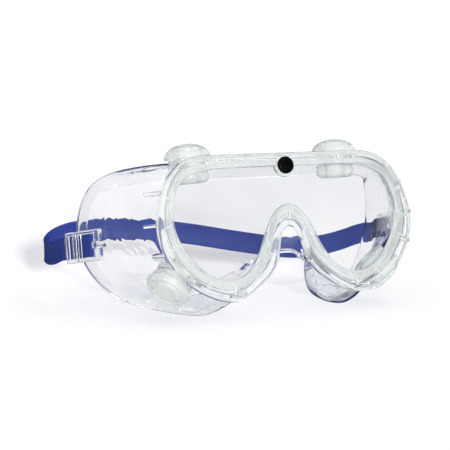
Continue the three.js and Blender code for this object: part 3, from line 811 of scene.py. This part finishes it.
def ramp(tree, value, stops):
    """Colour ramp through stops of (position, colour)."""
    made = node(tree, "ValToRGB", {"Fac": value})
    elements = made.color_ramp.elements
    for element, (position, colour) in zip(elements, (stops[0], stops[-1])):
        element.position, element.color = position, (*colour, 1)
    for position, colour in stops[1:-1]:
        elements.new(position).color = (*colour, 1)
    return made.outputs["Color"]


def two_tints(tree, value, tints):
    return ramp(tree, value, [(0.35, tints[0]), (0.65, tints[1])])


def bump(tree, height, strength, distance, normal=None):
    return node(tree, "Bump", {"Strength": strength, "Distance": distance, "Height": height,
                               "Normal": normal}).outputs["Normal"]


def attribute(tree, name):
    return node(tree, "Attribute", attribute_name=name).outputs["Fac"]


# ---------------------------------------------------------------- materials
def vinyl_zones(tree, tint, normal, milk, milk_colour):
    """Makes the rim milkier and paler than the wall, and paints blue-grey reflection lines where
    skin is edge-on, standing in for the headband and dark room seen refracted there.
    """
    rim_milk, marked_milk = 0.27, 0.34
    # colours of the painted reflection lines, navy like the headband they stand in for
    pale, painted_reflection_tint, painted_reflection_dark = (0.965, 0.975, 0.975), (0.10, 0.14, 0.42), (0.012, 0.018, 0.11)
    rim_plane = float(SHIFT @ FRONT) * MM
    place = node(tree, "TexCoord").outputs["Object"]
    depth = node(tree, "VectorMath", {0: place, 1: tuple(FRONT)}, operation="DOT_PRODUCT")
    in_rim = remap(tree, depth.outputs["Value"], rim_plane - 0.0075, rim_plane - 0.0040)

    # the soft wall is slightly uneven, so things seen through it look ragged
    unevenness = remap(tree, in_rim, low_to=0.45, high_to=0.0)
    normal = bump(tree, noise(tree, scale=170, detail=1), unevenness, 0.0006, normal)

    milk = calc(tree, "MULTIPLY_ADD", in_rim, rim_milk - milk, milk)
    milk = calc(tree, "MULTIPLY_ADD", attribute(tree, "milk"), marked_milk, milk)

    # painted reflection: thin blue-grey lines, wider in patches and widest on the marked lip,
    # standing in for the headband and dark room seen refracted at edge-on skin
    facing = node(tree, "LayerWeight", {"Blend": 0.5}).outputs["Facing"]
    patches = remap(tree, noise(tree, scale=31, detail=1), 0.46, 0.56, 0.0, 0.15)
    lip_boost = calc(tree, "MULTIPLY_ADD", attribute(tree, "lip"), 2.6, 1.0)
    wide = calc(tree, "MULTIPLY_ADD", patches, lip_boost, facing)
    # none on the flat top wall between the vents, where they would show as a bar from behind
    xyz = node(tree, "SeparateXYZ", {0: place}).outputs
    sideways = calc(tree, "ABSOLUTE", xyz["X"])
    between_vents = remap(tree, sideways, 0.040, 0.056, 1.0, 0.0)
    near_top = remap(tree, xyz["Z"], 0.050, 0.058, 0.0, 1.0)
    behind_rim = remap(tree, in_rim, low_to=1.0, high_to=0.0)
    calm = calc(tree, "MULTIPLY", between_vents, near_top)
    calm = calc(tree, "MULTIPLY", calm, behind_rim)
    line = remap(tree, calc(tree, "MULTIPLY_ADD", calm, -1.2, wide), 0.80, 0.95)

    tint = mix_colour(tree, line, mix_colour(tree, in_rim, tint, pale), painted_reflection_tint)
    # where the painted reflection lines lie, the vinyl turns matt and navy
    milk = calc(tree, "MAXIMUM", milk, calc(tree, "MULTIPLY", line, 0.92))
    return tint, normal, milk, mix_colour(tree, line, milk_colour, painted_reflection_dark)


def clear_material(name, tints, ior, roughness, ripple, noise_scale, shadow_tint, milk,
                   milk_colour, zones=None):
    """Refracting plastic with a faint ripple and a milky share; lamps shine through it."""
    material = bpy.data.materials.new(name)
    tree = empty_tree(material)
    waves = noise(tree, noise_scale)
    tint = two_tints(tree, waves, tints)
    normal = bump(tree, waves, ripple, 0.002) if ripple else None
    if zones:
        tint, normal, milk, milk_colour = zones(tree, tint, normal, milk, milk_colour)
    glass = node(tree, "BsdfPrincipled", {
        "Base Color": tint, "Transmission Weight": 1, "IOR": ior, "Roughness": roughness,
        "Normal": normal}).outputs["BSDF"]
    scatter = [node(tree, kind, {"Color": milk_colour}).outputs["BSDF"]
               for kind in ("BsdfDiffuse", "BsdfTranslucent")]
    plastic = mix_shader(tree, milk, glass, mix_shader(tree, 0.5, *scatter))
    # shadow and diffuse rays pass straight through, only tinted
    rays = node(tree, "LightPath").outputs
    passing = calc(tree, "MAXIMUM", rays["Is Shadow Ray"], rays["Is Diffuse Ray"])
    through = node(tree, "BsdfTransparent", {"Color": shadow_tint}).outputs["BSDF"]
    node(tree, "OutputMaterial", {"Surface": mix_shader(tree, passing, plastic, through)})
    return material


def solid_material(name, tints, noise_scale, roughness, grain, grain_scale, grain_depth):
    """Opaque material with uneven tint and roughness and a fine grain."""
    material = bpy.data.materials.new(name)
    tree = empty_tree(material)
    patches = noise(tree, noise_scale)
    surface = node(tree, "BsdfPrincipled", {
        "Base Color": two_tints(tree, patches, tints),
        "Roughness": remap(tree, patches, low_to=roughness[0], high_to=roughness[1]),
        "Specular IOR Level": 0.04,
        "IOR": 1.45,
        "Normal": bump(tree, noise(tree, grain_scale, detail=2), grain, grain_depth)})
    node(tree, "OutputMaterial", {"Surface": surface.outputs["BSDF"]})
    return material


MATERIALS = {
    "clear_vinyl": clear_material(
        "clear_vinyl", tints=((0.88, 0.885, 0.90), (0.96, 0.963, 0.97)), ior=1.30,
        roughness=0.02, ripple=0.03, noise_scale=38, shadow_tint=(0.94, 0.945, 0.955),
        milk=0.004, milk_colour=(0.56, 0.59, 0.58), zones=vinyl_zones),
    "clear_lens": clear_material(
        "clear_lens", tints=((0.80, 0.815, 0.825), (0.90, 0.905, 0.91)), ior=1.28,
        roughness=0.0, ripple=0.0, noise_scale=12, shadow_tint=(0.975, 0.98, 0.985),
        milk=0.006, milk_colour=(0.3, 0.3, 0.33)),
    "clear_plastic": clear_material(
        "clear_plastic", tints=((0.93, 0.945, 0.955), (0.96, 0.97, 0.975)), ior=1.45,
        roughness=0.01, ripple=0.05, noise_scale=120, shadow_tint=(0.93, 0.94, 0.95),
        milk=0.03, milk_colour=(0.5, 0.53, 0.54)),
    "milky_plastic": clear_material(
        "milky_plastic", tints=((0.935, 0.95, 0.935), (0.965, 0.975, 0.965)), ior=1.22,
        roughness=0.08, ripple=0.03, noise_scale=160, shadow_tint=(0.88, 0.90, 0.90),
        milk=0.31, milk_colour=(0.70, 0.72, 0.705)),
    "black_plastic": solid_material(
        "black_plastic", tints=((0.0008, 0.0008, 0.0008), (0.0018, 0.0018, 0.0018)),
        noise_scale=300, roughness=(0.2, 0.3), grain=0.06, grain_scale=900, grain_depth=0.001),
    "blue_rubber": solid_material(
        "blue_rubber", tints=((0.0135, 0.0235, 0.122), (0.016, 0.0275, 0.142)),
        noise_scale=60, roughness=(0.42, 0.52), grain=0.10, grain_scale=1400,
        grain_depth=0.0004),
}


# ---------------------------------------------------------------- build
def dress(ob, slot, body, *cad):
    """Gives a piece its material, the body it rides on and the CAD pieces it replaces."""
    ob.data.materials.clear()
    ob.data.materials.append(MATERIALS[slot])
    if body:
        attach(ob, body)
    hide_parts(*cad)
    return ob


dress(goggle_body(), "clear_vinyl", "goggle", "goggle_body")
dress(lens(), "clear_lens", "goggle", "lens")
dress(button(), "black_plastic", "brow_button", "brow_button")
for vent, vent_axes in VENTS.items():
    dress(vent_base(vent, vent_axes), "milky_plastic", "goggle", "vent_base_" + vent)
    cap_name = "vent_cap_" + vent
    dress(vent_cap(vent, vent_axes), "milky_plastic", cap_name, cap_name)
for buckle_name, buckle_side in (("buckle_right", -1), ("buckle_left", 1)):
    dress(buckle(buckle_name, buckle_side), "clear_plastic", buckle_name, buckle_name)
headband = dress(strap(), "blue_rubber", None, "strap_end_right", "strap_end_left", "headband")
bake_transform(headband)

# ---------------------------------------------------------------- floor and world, metres
scene = bpy.context.scene


def make_floor():
    """Pale matt floor that reflections don't see."""
    bm = bmesh.new()
    bmesh.ops.create_grid(bm, x_segments=2, y_segments=2, size=6.0)
    mesh = bpy.data.meshes.new("floor")
    bm.to_mesh(mesh)
    bm.free()
    ob = bpy.data.objects.new("floor", mesh)
    ob.location = (0, 0, -0.0002)
    scene.collection.objects.link(ob)
    material = bpy.data.materials.new("floor")
    tree = empty_tree(material)
    matt = node(tree, "BsdfDiffuse", {"Color": (0.945, 0.945, 0.95)})
    node(tree, "OutputMaterial", {"Surface": matt.outputs["BSDF"]})
    mesh.materials.append(material)
    ob.visible_glossy = False
    return ob


def make_world():
    """White to the camera, grey to matt surfaces, and a dark room with a bright ceiling to
    mirror-like reflections."""
    white, grey = (1.02, 1.02, 1.02), (0.675, 0.67, 0.715)
    # from straight below to straight above
    room = [
        (0.0, (0.6, 0.6, 0.62)), (0.36, (0.4, 0.4032, 0.416)), (0.44, (0.10, 0.11, 0.15)),
        (0.55, (0.08, 0.1056, 0.208)), (0.70, (0.10, 0.132, 0.26)),
        (0.80, (0.7, 0.7056, 0.728)), (0.88, (1, 1, 1)), (1.0, (1.1, 1.1, 1.1)),
    ]
    world = bpy.data.worlds.new("studio")
    scene.world = world
    tree = empty_tree(world)
    rays = node(tree, "LightPath").outputs
    direction = node(tree, "TexCoord").outputs["Generated"]
    height = node(tree, "SeparateXYZ", {0: direction}).outputs["Z"]
    reflected = ramp(tree, remap(tree, height, -1, 1), room)
    not_through = calc(tree, "SUBTRACT", 1, rays["Is Transmission Ray"])
    mirror = calc(tree, "MULTIPLY", rays["Is Glossy Ray"], not_through)
    plain = mix_colour(tree, rays["Is Diffuse Ray"], white, grey)
    colour = mix_colour(tree, mirror, plain, reflected)
    background = node(tree, "Background", {"Color": colour, "Strength": 1.0})
    node(tree, "OutputWorld", {"Surface": background.outputs["Background"]})


# ---------------------------------------------------------------- lights and camera
def place_facing(name, data, direction, location=(0, 0, 0)):
    ob = bpy.data.objects.new(name, data)
    ob.location = location
    ob.rotation_mode = "QUATERNION"
    ob.rotation_quaternion = Vector(direction).to_track_quat("-Z", "Y")
    scene.collection.objects.link(ob)
    return ob


def towards(azimuth, elevation):
    """Direction from the goggles, in degrees round from the front towards +X and up."""
    a, e = math.radians(azimuth), math.radians(elevation)
    return vec(math.sin(a) * math.cos(e), -math.cos(a) * math.cos(e), math.sin(e))


def sun(name, azimuth, elevation, spread, strength, colour=(1, 1, 1)):
    light = bpy.data.lights.new(name, "SUN")
    light.energy, light.angle, light.color = strength, math.radians(spread), colour
    place_facing(name, light, -towards(azimuth, elevation))


def highlight(name, location, target, size, power):
    """Rectangular lamp that lights no matt surface, only reflections."""
    light = bpy.data.lights.new(name, "AREA")
    light.shape, light.energy = "RECTANGLE", power
    light.size, light.size_y = size
    ob = place_facing(name, light, Vector(target) - Vector(location), location)
    ob.visible_diffuse = False


def make_camera():
    azimuth, distance = -28, 670.0
    aim_left, aim_down = 31.03448, 10.83744  # where it aims, from the drawing's origin, mm
    back = towards(azimuth, 6.4)
    turn = math.radians(azimuth)
    right = vec(math.cos(turn), math.sin(turn), 0)
    aim = -back * distance - right * aim_left - np.cross(back, right) * aim_down
    data = bpy.data.cameras.new("camera")
    data.sensor_width = 36
    data.lens = 108.808
    data.clip_start, data.clip_end = 0.01, 50
    scene.camera = place_facing("camera", data, aim, Vector((SHIFT + back * distance) * MM))


floor = make_floor()
make_world()
highlight("strip", location=(0.25, 0.30, 0.75), target=(0, 0, 0.03), size=(0.5, 0.25), power=1.2)
highlight("glint", location=(-0.62, -0.42, 0.42), target=(0, 0, 0.04), size=(0.10, 0.45),
          power=2.2)
sun("top", azimuth=40, elevation=62, spread=35, strength=0.35)
sun("front", azimuth=-12, elevation=10.5, spread=4.0, strength=5.6, colour=(1, 1, 0.90))
make_camera()

# ---------------------------------------------------------------- render settings
scene.view_settings.view_transform = "Standard"
scene.view_settings.look = "None"
scene.cycles.max_bounces = 24
scene.cycles.transmission_bounces = 20
scene.cycles.glossy_bounces = 8
scene.cycles.transparent_max_bounces = 32
scene.cycles.diffuse_bounces = 4
